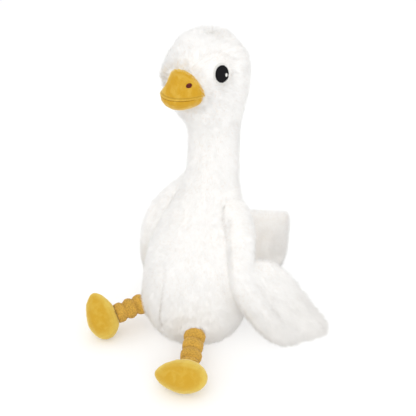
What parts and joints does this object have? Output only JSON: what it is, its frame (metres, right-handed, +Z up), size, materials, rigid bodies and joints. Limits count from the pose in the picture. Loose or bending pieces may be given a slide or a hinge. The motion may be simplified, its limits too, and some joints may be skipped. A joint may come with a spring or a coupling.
{
  "type": "plush goose",
  "caption": "Sitting stuffed toy goose in white plush with a long upright neck, hanging wings, an upturned tail, a velvet bill and velvet feet on gathered corduroy legs.",
  "frame": {"origin": "the middle of the flat underside that the goose sits on", "axes": "+Z up, -Y the way the goose faces, +X its own left side"},
  "size_m": [0.2744, 0.2457, 0.3563],
  "materials": {
    "white_plush": "short-pile plush",
    "yellow_velvet": "velvet",
    "gold_corduroy": "fine corduroy",
    "white_thread": "satin stitch",
    "black_thread": "satin stitch",
    "maroon_thread": "satin stitch"
  },
  "bodies": {
    "root": {"body": "white_plush", "left_wing": "white_plush", "right_wing": "white_plush", "tail": "white_plush", "upper_bill": "yellow_velvet", "lower_bill": "yellow_velvet", "left_nostril": "maroon_thread", "right_nostril": "maroon_thread", "left_eye_white": "white_thread", "right_eye_white": "white_thread", "left_pupil": "black_thread", "right_pupil": "black_thread", "left_eye_light": "white_thread", "right_eye_light": "white_thread", "left_leg": "gold_corduroy", "right_leg": "gold_corduroy", "left_foot": "yellow_velvet", "right_foot": "yellow_velvet"}
  },
  "joints": []
}
